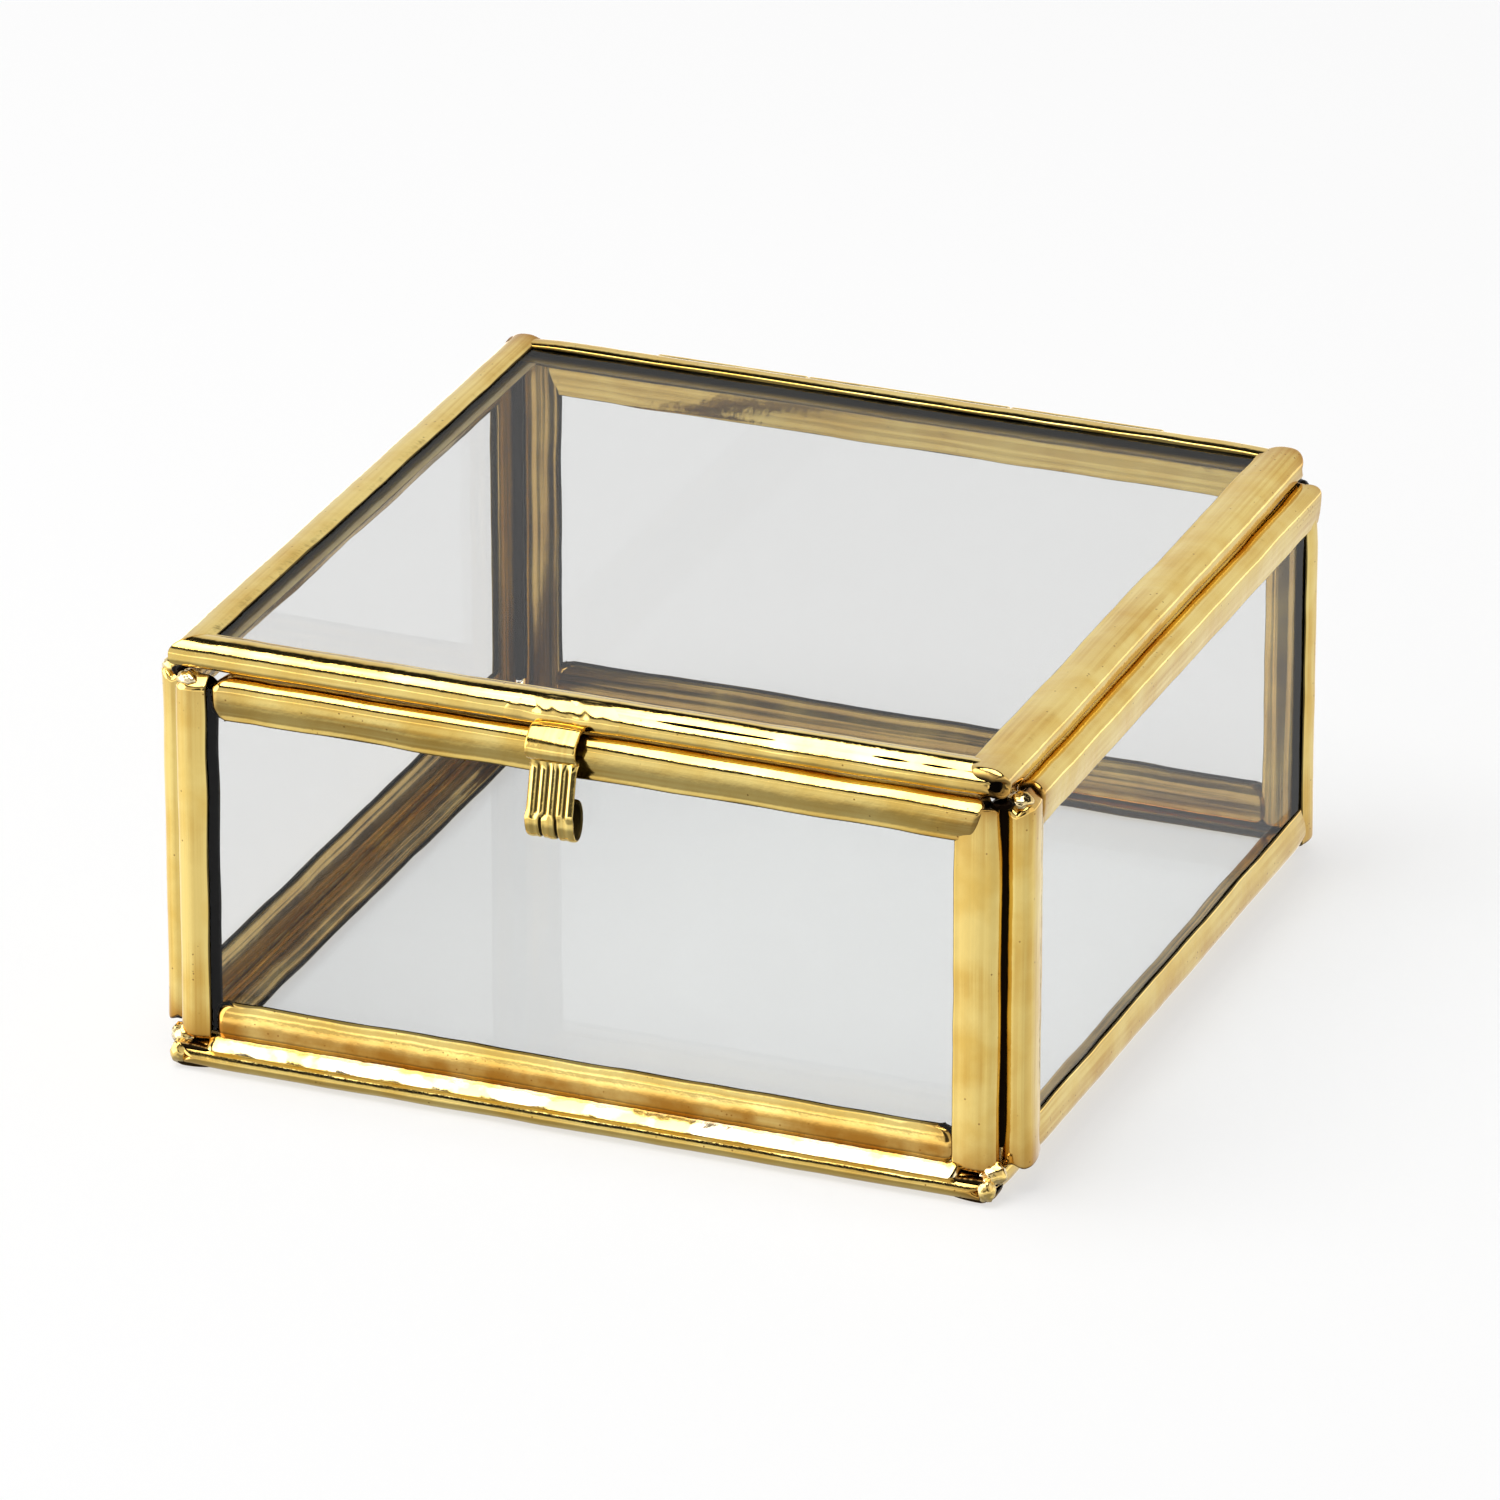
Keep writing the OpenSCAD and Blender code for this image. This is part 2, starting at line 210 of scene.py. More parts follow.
def lacquered_brass():
    """Folded and lacquered brass strip: bright pale yellow metal, smooth as rolled, with shallow waves from
    folding by hand, small brown spots, heat stain near the solder, an inner face darkened by tarnish and by
    painted shade, with pale and dark streaks along its drawing lines that are partly painted reflection, and
    painted black shade in the slot, along the lips' edges, at the cut ends and in the tab's hollows."""
    material, node = new_tree("lacquered_brass")
    place = node("TexCoord", output="Object")
    strip = node("Attribute", attribute_name="strip", output="Vector")
    inside = node("Attribute", attribute_name="inside", output="Fac")
    painted_shade = node("Attribute", attribute_name="painted_shade", output="Fac")
    joint = node("Attribute", attribute_name="joint", output="Fac")

    cloud = node("TexNoise", {"Vector": place, "Scale": per_mm(6), "Detail": 4.0})
    stretched = node("Mapping", {"Vector": strip, "Scale": (0.013, 1.5, 1.0)})
    lines = node("TexNoise", {"Vector": stretched, "Scale": 1.0, "Detail": 4.0})
    grain = node("TexNoise", {"Vector": place, "Scale": per_mm(0.3), "Detail": 2.0})
    waves = node("TexNoise", {"Vector": place, "Scale": per_mm(1.3), "Detail": 3.0})
    crowd = node("TexNoise", {"Vector": place, "Scale": per_mm(9), "Detail": 2.0})
    spot_gap = node("TexVoronoi", {"Vector": place, "Scale": per_mm(0.55)})
    spot_draw = node("TexVoronoi", {"Vector": place, "Scale": per_mm(0.55)}, output="Color")

    clouds = node("MapRange", {0: cloud, 1: 0.4, 2: 0.68})
    gold = node("Mix", {0: clouds, 6: linear("#F0D684"), 7: linear("#E5C268")}, 2, data_type="RGBA")
    worn = node("MapRange", {0: crowd, 1: 0.4, 2: 0.65, 3: 0.15, 4: 0.6})
    worn = node("Math", {0: worn, 1: node("MapRange", {0: lines, 1: 0.4, 2: 0.6})}, operation="MULTIPLY")
    gold = node("Mix", {0: worn, 6: gold, 7: linear("#C99A3E")}, 2, data_type="RGBA")

    # Specks of up to 0.15 mm, closer together in some places and near the joints
    dot = node("MapRange", {0: spot_gap, 1: 0.05, 2: 0.25, 3: 1.0, 4: 0.0})
    crowded = node("MapRange", {0: crowd, 1: 0.5, 2: 0.7, 4: 0.14})
    crowded = node("Math", {0: joint, 1: 0.2, 2: crowded}, operation="MULTIPLY_ADD")
    chance = node("Math", {0: node("SeparateColor", {0: spot_draw}), 1: crowded}, operation="ADD")
    kept = node("Math", {0: chance, 1: 0.975}, operation="GREATER_THAN")
    dot = node("Math", {0: dot, 1: kept}, operation="MULTIPLY")
    gold = node("Mix", {0: dot, 6: gold, 7: linear("#7A4E18")}, 2, data_type="RGBA")

    # Heat and flux leave a golden brown stain near the joints
    patchy = node("MapRange", {0: cloud, 1: 0.35, 2: 0.6, 3: 0.45, 4: 0.9})
    stain = node("Math", {0: joint, 1: patchy}, operation="MULTIPLY")
    gold = node("Mix", {0: stain, 6: gold, 7: linear("#A0661C")}, 2, data_type="RGBA")

    # The faces inside the box are darkened by tarnish and by painted shade, with pale and dark streaks along
    # their drawing lines that are partly painted reflection
    drawn = node("MapRange", {0: lines, 1: 0.42, 2: 0.56})
    tarnish_and_shade = node("Mix", {0: drawn, 6: linear("#C6A261"), 7: linear("#261708")}, 2, data_type="RGBA")
    inner_darkening = node("MapRange", {0: cloud, 1: 0.3, 2: 0.6, 3: 0.75, 4: 1.0})
    inner_darkening = node("Math", {0: inner_darkening, 1: inside}, operation="MULTIPLY")
    gold = node("Mix", {0: inner_darkening, 6: gold, 7: tarnish_and_shade}, 2, data_type="RGBA")
    # Painted shade: black in the slot, along the lips' edges, at the cut ends and in the tab's hollows, where
    # shade falls
    gold = node("Mix", {0: painted_shade, 6: gold, 7: linear("#0B0805")}, 2, data_type="RGBA")

    rough = node("MapRange", {0: cloud, 1: 0.3, 2: 0.7, 3: 0.07, 4: 0.13})
    rough = node("Math", {0: dot, 1: 0.12, 2: rough}, operation="MULTIPLY_ADD")
    rough = node("Math", {0: inside, 1: 0.08, 2: rough}, operation="MULTIPLY_ADD")
    rough = node("Math", {0: painted_shade, 1: 0.5, 2: rough}, operation="MULTIPLY_ADD")
    height = node("Math", {0: grain, 1: 0.06, 2: waves}, operation="MULTIPLY_ADD")
    engraved = node("Math", {0: inside, 1: 0.7, 2: 0.3}, operation="MULTIPLY_ADD")
    height = node("Math", {0: lines, 1: engraved, 2: height}, operation="MULTIPLY_ADD")
    height = node("Math", {0: dot, 1: -0.1, 2: height}, operation="MULTIPLY_ADD")
    bump = node("Bump", {"Height": height, "Strength": 1.0, "Distance": 0.03 * MM})
    metal = node("BsdfPrincipled", {"Base Color": gold, "Metallic": 1.0, "Roughness": rough, "Normal": bump})
    node("OutputMaterial", {"Surface": metal})
    return material


def gold_washed_solder():
    """Soft solder left as it froze, under a thin gold wash: a bright uneven skin, silver grey where the
    wash is thin, orange brown where flux has baked on, and black with painted shade in the deep seams."""
    material, node = new_tree("gold_washed_solder")
    place = node("TexCoord", output="Object")
    flux = node("Attribute", attribute_name="flux", output="Fac")
    painted_shade = node("Attribute", attribute_name="painted_shade", output="Fac")
    lumps = node("TexNoise", {"Vector": place, "Scale": per_mm(1.1), "Detail": 3.0})
    wash = node("TexNoise", {"Vector": place, "Scale": per_mm(4), "Detail": 3.0})
    silver = node("Attribute", attribute_name="silver", output="Fac")
    washed = node("Math", {0: node("MapRange", {0: wash, 1: 0.42, 2: 0.62}), 1: silver}, operation="MULTIPLY")
    skin = node("Mix", {0: washed, 6: linear("#EACB78"), 7: linear("#E3DAC6")}, 2, data_type="RGBA")
    pooled = node("MapRange", {0: wash, 1: 0.36, 2: 0.58, 3: 1.0, 4: 0.2})
    baked = node("Math", {0: flux, 1: pooled}, operation="MULTIPLY")
    skin = node("Mix", {0: baked, 6: skin, 7: linear("#8A5416")}, 2, data_type="RGBA")
    # Painted shade: black where the solder lies deep in a seam
    skin = node("Mix", {0: painted_shade, 6: skin, 7: linear("#120B06")}, 2, data_type="RGBA")
    rough = node("Math", {0: baked, 1: 0.2, 2: 0.11}, operation="MULTIPLY_ADD")
    rough = node("Math", {0: painted_shade, 1: 0.3, 2: rough}, operation="MULTIPLY_ADD")
    bump = node("Bump", {"Height": lumps, "Strength": 1.0, "Distance": 0.025 * MM})
    metal = node("BsdfPrincipled", {"Base Color": skin, "Metallic": 1.0, "Roughness": rough, "Normal": bump})
    node("OutputMaterial", {"Surface": metal})
    return material


def soda_lime_glass():
    """Drawn soda-lime sheet: clear with a faint grey tint and slow waves in its faces. Rays on their way to
    a lamp pass straight through, and its mirror image is weak, as behind a polarising filter."""
    material, node = new_tree("soda_lime_glass")
    place = node("TexCoord", output="Object")
    waves = node("TexNoise", {"Vector": place, "Scale": per_mm(30), "Detail": 1.0})
    bump = node("Bump", {"Height": waves, "Strength": 0.4, "Distance": 0.03 * MM})
    mirroring = node("BsdfPrincipled", {
        "Base Color": linear("#F2F3F2"), "Roughness": 0.0, "IOR": GLASS_IOR, "Transmission Weight": 1.0,
        "Normal": bump})
    plain = node("BsdfRefraction", {
        "Color": linear("#F7F7F7"), "Roughness": 0.0, "IOR": GLASS_IOR, "Normal": bump})
    clear = node("MixShader", {0: UNMIRRORED, 1: mirroring, 2: plain})
    through = node("BsdfTransparent", {"Color": linear("#ECEEEE")})
    shadow = node("LightPath", output="Is Shadow Ray")
    node("OutputMaterial", {"Surface": node("MixShader", {0: shadow, 1: clear, 2: through})})
    return material


BRASS = lacquered_brass()
SOLDER = gold_washed_solder()
GLASS = soda_lime_glass()

# ---- Channel strips ----

# A strip's own sizes: how far its outer and inner lips reach over the glass, the depth over which it
# turns round the edge of the glass, how square its outer and inner bends are (1 is an ellipse, less is
# squarer), how bevelled the outer bend is at the start and the end, how far the nose stands out, how much
# a face falls from its crest to its lip, over what length the lip turns in to the glass, how dark the
# inner face is with tarnish and painted shade, how dark the slot is with painted shade, and how dark the
# fold by the solder is with stain. The strips were folded by hand, so they differ.
USUAL = {"outer": 4.6, "inner": 4.9, "nose": 1.6, "outer_bend": 0.9, "inner_bend": 0.8, "bevel": (0, 0),
         "stand": 0.0, "crown": 0.28, "lip": 0.45, "tarnish_and_shade": 0.9, "slot": 1.0, "stain": 0.0}
WALL_TOP = {"nose": 1.25, "outer_bend": 1.0, "inner_bend": 0.5, "stand": 0.15}
BASE = {"nose": 2.3, "inner_bend": 1.4, "outer_bend": 1.0, "inner": 5.0}
OWN = {
    "lid_left": {"outer": 3.9, "inner": 5.4, "lip": 0.25, "nose": 2.4, "inner_bend": 0.55, "slot": 0.45},
    "lid_back": {"outer": 2.7, "inner": 5.2, "lip": 0.2, "crown": 0.15, "outer_bend": 0.6,
                 "inner_bend": 0.55, "slot": 0.7},
    "lid_right": {"outer": 4.9, "nose": 2.4, "inner_bend": 0.5, "stand": 0.2, "slot": 0.6},
    "lid_front": {"outer": 4.2, "nose": 2.4, "outer_bend": 1.0, "inner_bend": 0.55, "bevel": (0, 1)},
    "front_left": {"outer": 3.5, "inner": 4.3, "nose": 1.9, "stand": 0.3},
    "front_right": {"outer": 4.4, "inner": 4.7, "nose": 1.9, "stand": 0.45},
    "front_bottom": {"outer": 4.9, "inner": 4.3, "crown": 0.32, "lip": 1.0, "stain": 1.0},
    "front_top": {**WALL_TOP, "outer": 4.5, "inner": 5.0, "crown": 0.42, "lip": 0.6, "bevel": (1, 0)},
    "right_front": {"nose": 2.0, "stand": 0.45},
    "right_bottom": {"outer": 4.8, "inner": 4.2, "stain": 0.35},
    "left_front": {"nose": 2.0, "stand": 0.35},
    "right_top": WALL_TOP, "left_top": WALL_TOP, "back_top": {**WALL_TOP, "tarnish_and_shade": 0.2},
    "right_back": {"outer": 3.8, "inner": 5.0},
    "back_left": {"tarnish_and_shade": 1.0}, "back_right": {"tarnish_and_shade": 0.9},
    "base_front": BASE, "base_back": BASE,
    "left_bottom": {"inner_bend": 0.5, "stain": 0.6}, "back_bottom": {"inner_bend": 0.5, "stain": 0.8},
}
BEVELLED = 1.4  # the bend's squareness where it is bevelled
LIP_GAP = 0.08  # height of a lip's edge over the slot
SLOT_BEND = 0.6
END_STEPS = np.array([0, 0.04, 0.1, 0.18, 0.28, 0.4, 0.55, 0.72, 0.92, 1.2, 1.6, 2.2, 2.9, 3.8, 4.9, 6.2])
EASED = 14  # length over which an end's cut fades out
PROUD_FADE = 7  # length over which an end comes level with the rest of its strip
SLOT_SQUARE = 0.7  # how square the slot's corners are
RING_GAP = 1.4  # between a strip's rings of points, away from its ends
BEVEL_TURNS = (0.35, 0.65)  # shares of the length over which one end's bevel gives way to the other's
# Longest wave and height of the lip's waver, of the nose's and of the dents
LIP_WAVE, NOSE_WAVE, DENTS = (22, 0.1), (26, 0.06), (12, 0.03)
LIP_FROM = 1.5  # depth from which the lip's waver takes over from the nose's
LIP_POINTS = 3  # how many points at a lip's edge are painted dark as shade
LIP_SHADE, END_SHADE = 0.8, 0.95
CUT_REACH, JOINT_REACH = 0.1, 2.2  # how far the painted shade and the stain at an end reach
NO_END = 9.0  # stands for the distance to a mitred end, which has neither
STAIN_FADE = (2.0, 3.8)  # depths over which the stain along a seam dies away
SLOT_FADE = (1.8, 0.5)  # how far from the inner lip the slot's painted shade grows dark
INNER_SIDE = (0.35, 1.2)  # heights over which the inner face begins


def half_section(reach, nose, bend, crown, lip):
    """One side of a strip's section from the tip of its nose to its lip, outside and inside, as depth and
    height. The nose is a quarter of a superellipse, the face falls as the square of the way to its lip, and
    the lip is a quarter of an ellipse. The inside is a plain slot with round corners."""
    half = CHANNEL_T / 2
    turn = np.linspace(0, math.pi / 2, 17)
    way = np.linspace(0, 1, 9)[1:]
    fold = np.linspace(0, math.pi / 2, 7)[1:]
    drop = half - crown - SLOT_HALF - LIP_GAP
    face_end = reach - lip
    corner = SHEET_T + SLOT_BEND
    outside = [[nose * (1 - np.cos(turn) ** bend), half * np.sin(turn) ** bend],
               [nose + way * (face_end - nose), half - crown * way ** 2],
               [face_end + lip * np.sin(fold), half - crown - drop * (1 - np.cos(fold))]]
    slot = [[SHEET_T + SLOT_BEND * (1 - np.cos(turn)), SLOT_HALF * np.sin(turn) ** SLOT_SQUARE],
            [corner + way * (face_end - corner), 0 * way + SLOT_HALF],
            [face_end + (lip - 0.02) * fold / fold[-1], 0 * fold + SLOT_HALF]]
    return np.concatenate(outside, axis=1).T, np.concatenate(slot, axis=1).T


def section(own, bevel):
    """The whole section from the inner lip round the nose to the outer lip, with the outer side up."""
    bend = own["outer_bend"] + bevel * (BEVELLED - own["outer_bend"])
    upper = half_section(own["outer"], own["nose"], bend, own["crown"], own["lip"])
    lower = half_section(own["inner"], own["nose"], own["inner_bend"], own["crown"], own["lip"])
    mirror = np.array([1, -1])
    return [np.concatenate([lower[part][:0:-1] * mirror, upper[part]]) for part in (0, 1)]


# How a strip ends: how far its end lies back from the pane's corner, and by how much more per depth from
# the nose; the radii of its outer and inner corner; over what length it closes, down to what share of its
# thickness, and how round (1 is a straight bevel, 2 is a circle); and how proud it rises of its
# neighbour, or how deep it is pressed under it
ENDS = {
    "mitre": (0.0, 1.0, 0.0, 0.0, 0.1, 1.0, 2, 0.0),
    "under": (0.5, 0.0, 0.5, 0.5, 0.2, 0.9, 2, -0.15),
    "slip": (0.6, 0.0, 0.8, 0.3, 1.3, 0.55, 2, -0.04),
    "open": (0.1, 0.0, 0.8, 0.6, 0.5, 0.8, 2, 0.05),
    "flare": (-0.1, 0.0, 0.7, 0.9, 0.2, 0.95, 2, 0.12),
    "round": (0.05, 0.0, 1.6, 1.2, 1.2, 0.25, 2, 0.0),
    "tongue": (0.1, 0.1, 0.9, 1.6, 0.7, 0.4, 2, 0.05),
    "lapped": (-0.45, 0.0, 1.7, 1.9, 0.8, 0.45, 2, 0.07),
    "hook": (0.9, 0.3, 0.9, 1.0, 0.6, 0.6, 2, 0.09),
    "dome": (0.0, 0.0, 0.8, 1.4, 1.2, 0.04, 1.15, 0.06),
    "knob": (3.7, 0.0, 1.4, 1.6, 1.2, 0.1, 1.3, 0.05),
    "butt": (3.9, 0.0, 0.4, 0.6, 0.5, 0.7, 2, 0.0),
}


def end_cut(kind, depth):
    """How far the strip's end lies back from the pane's corner at each depth from the nose: a slanted
    line, with a quarter circle at each side."""
    back, slant, outer_r, inner_r = ENDS[kind][:4]
    near = np.clip(1 - depth / max(outer_r, 1e-6), 0, 1)
    far = np.clip(1 - (USUAL["outer"] - depth) / max(inner_r, 1e-6), 0, 1)
    turned = outer_r * (1 - np.sqrt(1 - near ** 2)) + inner_r * (1 - np.sqrt(1 - far ** 2))
    return back + slant * depth + turned * (kind != "mitre")


def end_thickness(kind, inset):
    """The share of the strip's thickness at a distance from its end: a superellipse where it closes, and a
    smooth step where it rises over its neighbour or dips under it."""
    length, least, power, proud = ENDS[kind][4:]
    left = np.clip(1 - inset / length, 0, 1)
    closed = least + (1 - least) * (1 - left ** power) ** (1 / power)
    return closed * (1 + proud * (1 - ease(inset, 0, PROUD_FADE)))


def strip(length, ends, own, darkened_depths, seed):
    """A channel strip along its own axis, with its outer side up: the section carried along it, with its
    ends cut and closed, and unevenness from ripples. The inner face is darkened, by tarnish and by painted
    shade, beyond the two depths given, and the slot, the lips' edges and the cut ends get painted black
    shade. Returned as length, depth and height, with the values that the brass reads."""
    plain = section(own, 0)
    bevelled = section(own, 1)
    count = len(plain[0])
    middle = np.linspace(0, 1, int(length / RING_GAP))[1:-1]
    along = np.concatenate([END_STEPS, END_STEPS[-1] + (length - 2 * END_STEPS[-1]) * middle,
                            length - END_STEPS[::-1]])
    s = along[:, None] + np.zeros(2 * count)
    turning = ease(s, BEVEL_TURNS[0] * length, BEVEL_TURNS[1] * length)
    share = own["bevel"][0] + (own["bevel"][1] - own["bevel"][0]) * turning
    rings = [np.concatenate([shape[0], shape[1][::-1]]) for shape in (plain, bevelled)]
    depth = rings[0][:, 0] + share * (rings[1][:, 0] - rings[0][:, 0])
    height = rings[0][:, 1] + share * (rings[1][:, 1] - rings[0][:, 1])
    point = np.arange(2 * count)
    slot = point >= count
    run = np.concatenate([[0], np.cumsum(np.linalg.norm(np.diff(rings[0], axis=0), axis=1))])
    lip_share = ease(depth, LIP_FROM, own["outer"])
    edge_wave = ripple(s, 0 * s, seed + 1, *LIP_WAVE) * lip_share
    nose_wave = ripple(s, 0 * s, seed + 2, *NOSE_WAVE) * (1 - lip_share)
    dent = ripple(s, 0.6 * run, seed, *DENTS)
    cut_start = end_cut(ends[0], depth) * (1 - ease(s, 0, EASED))
    cut_end = end_cut(ends[1], depth) * (1 - ease(length - s, 0, EASED))
    closed = end_thickness(ends[0], s) * end_thickness(ends[1], length - s)
    height = (height + np.sign(height) * dent * ~slot) * closed
    drawn_in = (1 - np.clip(closed, 0, 1)) * np.clip(own["nose"] - depth, 0, None)
    depth = depth + drawn_in + (edge_wave + nose_wave - own["stand"] * (1 - lip_share)) * ~slot
    first = np.stack([point[:count - 1], point[1:count], 2 * count - 1 - point[1:count],
                      2 * count - 1 - point[:count - 1]], axis=1)
    faces = [tube_faces(*s.shape), first, first[:, ::-1] + (len(along) - 1) * 2 * count]
    near = np.minimum(*[np.where(kind == "mitre", NO_END, gap)
                        for kind, gap in zip(ends, (s, length - s))])
    lip_edge = (np.minimum(point, np.abs(count - 1 - point)) < LIP_POINTS) & ~slot
    # The slot, the lips' edges and the cut ends are marked for painted black shade, the inner face for
    # tarnish and painted shade
    deep = 1 - (1 - own["slot"]) * ease(depth, own["inner"] - SLOT_FADE[0], own["inner"] - SLOT_FADE[1])
    inside = own["tarnish_and_shade"] * ease(-height, *INNER_SIDE) * ease(depth, *darkened_depths) * ~slot
    painted_shade = np.maximum(np.maximum(deep * slot, LIP_SHADE * lip_edge), END_SHADE * np.exp(-near / CUT_REACH))
    joint = np.maximum(np.exp(-near / JOINT_REACH), own["stain"] * (1 - ease(depth, *STAIN_FADE)))
    values = {
        "strip": np.stack([s, run + 0 * s, 0 * s + seed], axis=-1).reshape(-1, 3),
        "inside": inside.ravel(),
        "painted_shade": painted_shade.ravel(),
        "joint": joint.ravel(),
    }
    local = np.stack([s + cut_start - cut_end - length / 2, depth, height], axis=-1).reshape(-1, 3)
    return local, faces, values


# How the strips meet at each pane's corners, from the lower left one anticlockwise. For each corner: the
# end of the strip that comes to it, then the end of the strip that leaves it, in the same sense.
MEETINGS = {
    "base": [("under", "round"), ("round", "under"), ("under", "round"), ("round", "under")],
    "lid": [("mitre", "mitre"), ("slip", "tongue"), ("lapped", "under"), ("under", "open")],
    "front": [("open", "knob"), ("knob", "open"), ("under", "hook"), ("knob", "dome")],
    "back": [("open", "knob"), ("knob", "open"), ("open", "under"), ("under", "open")],
    "left": [("open", "under"), ("under", "open"), ("under", "open"), ("butt", "dome")],
    "right": [("flare", "under"), ("under", "open"), ("under", "open"), ("butt", "dome")],
}


def make_strips():
    """The four strips of every pane, each put on its own edge with its outer side outwards."""
    for number, (pane, (u, v, n, edges, body, inner_side)) in enumerate(PANES.items()):
        low, high = corners_mm(*channel_nodes(pane))
        middle, size = (low + high) / 2, high - low
        width, tall = size @ np.abs(u), size @ np.abs(v)
        for edge, edge_name in enumerate(edges):
            along = [u, v, -u, -v][edge]
            inward = [v, -u, -v, u][edge]
            length, reach = (width, tall / 2) if edge % 2 == 0 else (tall, width / 2)
            ends = (MEETINGS[pane][edge][1], MEETINGS[pane][(edge + 1) % 4][0])
            own = {**USUAL, **OWN.get(f"{pane}_{edge_name}", {})}
            # Depths beyond which the inner face is darkened by tarnish and painted shade
            darkened_depths = (3.2, 4.0) if pane == "base" and edge % 2 == 0 else (0.6, 1.6)
            local, faces, values = strip(length, ends, own, darkened_depths, 10 * number + edge + 1)
            points = (middle + local[:, :1] * along + (local[:, 1:2] - reach) * inward
                      - inner_side * local[:, 2:] * n)
            piece(f"{pane}_{edge_name}_strip", [(points, faces, values)], BRASS, body,
                  [f"{pane}_channel_{edge_name}"])


make_strips()

# ---- Solder ----

RINGS_PER_MM = 2.2
BEAD_POINTS = 24
CORNER_RUN_R = 0.7  # the runs up the corners
SIDE_FILL_R = 0.6  # the runs under the side walls
# The ramps along the foot of the front and back walls, and how rough they and the fills are
FOOT_RAMP = {"radius": 1.2, "wide": 1.46, "power": 1.15}
SEAM_LUMP = 0.025
SMEAR_SINK = 0.4  # how far the tab's solder reaches into the strip under it


def closed_rings(place):
    """A stack of rings joined into a tube, with a point in the middle of each end that closes it."""
    rings, points = place.shape[:2]
    poles = np.stack([place[0].mean(axis=0), place[-1].mean(axis=0)])
    total = rings * points
    near = np.arange(points)
    after = (near + 1) % points
    first = np.stack([after, near, 0 * near + total], axis=1)
    last = np.stack([near, after, 0 * near + total + 1], axis=1)
    last[:, :2] += total - points
    together = np.concatenate([place.reshape(-1, 3), poles])
    return together, tube_faces(rings, points), np.concatenate([first, last])


def bead(start, end, radius, seed, lump, wide=1.0, power=2.0):
    """A run of solder: a tube along a line, whose radius swells and sinks by a ripple and closes round at
    both ends as a quarter circle. Its section is a superellipse, a circle unless it is drawn wide or the
    power is less than 2, which flattens its four slopes."""
    start, end = np.asarray(start, float), np.asarray(end, float)
    length = np.linalg.norm(end - start)
    axis = (end - start) / length
    side = np.cross(axis, X if abs(axis[0]) < 0.5 else Z)
    side /= np.linalg.norm(side)
    other = np.cross(axis, side)
    tip = radius * (1 - np.cos(np.linspace(0.15, math.pi / 2, 7)))
    middle = np.linspace(radius, length - radius, int(length * RINGS_PER_MM))[1:-1]
    s = np.concatenate([tip, middle, length - tip[::-1]])
    turn = np.arange(BEAD_POINTS) * math.tau / BEAD_POINTS
    close = np.clip(np.minimum(s, length - s) / radius, 0, 1)[:, None]
    swell = 1 + ripple(s[:, None], 2 * radius * np.sin(turn), seed, 3.5, lump)
    round_share = (np.abs(np.cos(turn)) ** power + np.abs(np.sin(turn)) ** power) ** (-1 / power)
    size = radius * np.sqrt(1 - (1 - close) ** 2) * swell * round_share
    return closed_rings(start + s[:, None, None] * axis + (wide * size * np.cos(turn))[..., None] * side
                        + (size * np.sin(turn))[..., None] * other)


def blob(centre, radii, seed, lump):
    """A drop of solder: a ball with three radii, swollen by a ripple over its turns."""
    lift = np.linspace(0.05, math.pi - 0.05, 24)[:, None]
    turn = np.arange(32) * math.tau / 32
    around = np.stack([np.sin(lift) * np.cos(turn), np.sin(lift) * np.sin(turn), np.cos(lift) + 0 * turn],
                      axis=-1)
    x, y, z = around[..., 0], around[..., 1], around[..., 2]
    swell = 1 + ripple(3 * x + 2 * z, 3 * y - z, seed, 3, lump)
    return closed_rings(np.asarray(centre) + around * np.asarray(radii) * swell[..., None])


def solder(name, shapes, body, node, flux, painted_shades=(0.0,), silver=0.0):
    """A piece of solder from closed shapes, with how much flux lies on its upper side, how much painted
    shade darkens each shape, the last figure for the rest of them, and how much silver shows through the
    wash."""
    ready = []
    for number, (points, quads, caps) in enumerate(shapes):
        painted_shade = painted_shades[min(number, len(painted_shades) - 1)]
        low, high = points[:, 2].min(), points[:, 2].max()
        upper = ease(points[:, 2], low + 0.45 * (high - low), low + 0.75 * (high - low))
        baked = flux * (0.15 + 0.85 * upper)
        values = {"flux": baked, "painted_shade": np.full(len(points), painted_shade), "silver": np.full(len(points), silver)}
        ready.append((points, (quads, caps), values))
    piece(name, ready, SOLDER, body, [node])


# The drops of solder in the ends of the front uprights, where no strip lies over them
SIDE_CAP = (front_high[0] + 1.6, side_high[1] - 1.1)
FRONT_CAP = (front_high[0] - 1.3, -front_low[1] - 1.5)
CAPPED = {"front_left": [SIDE_CAP, FRONT_CAP], "front_right": [SIDE_CAP]}


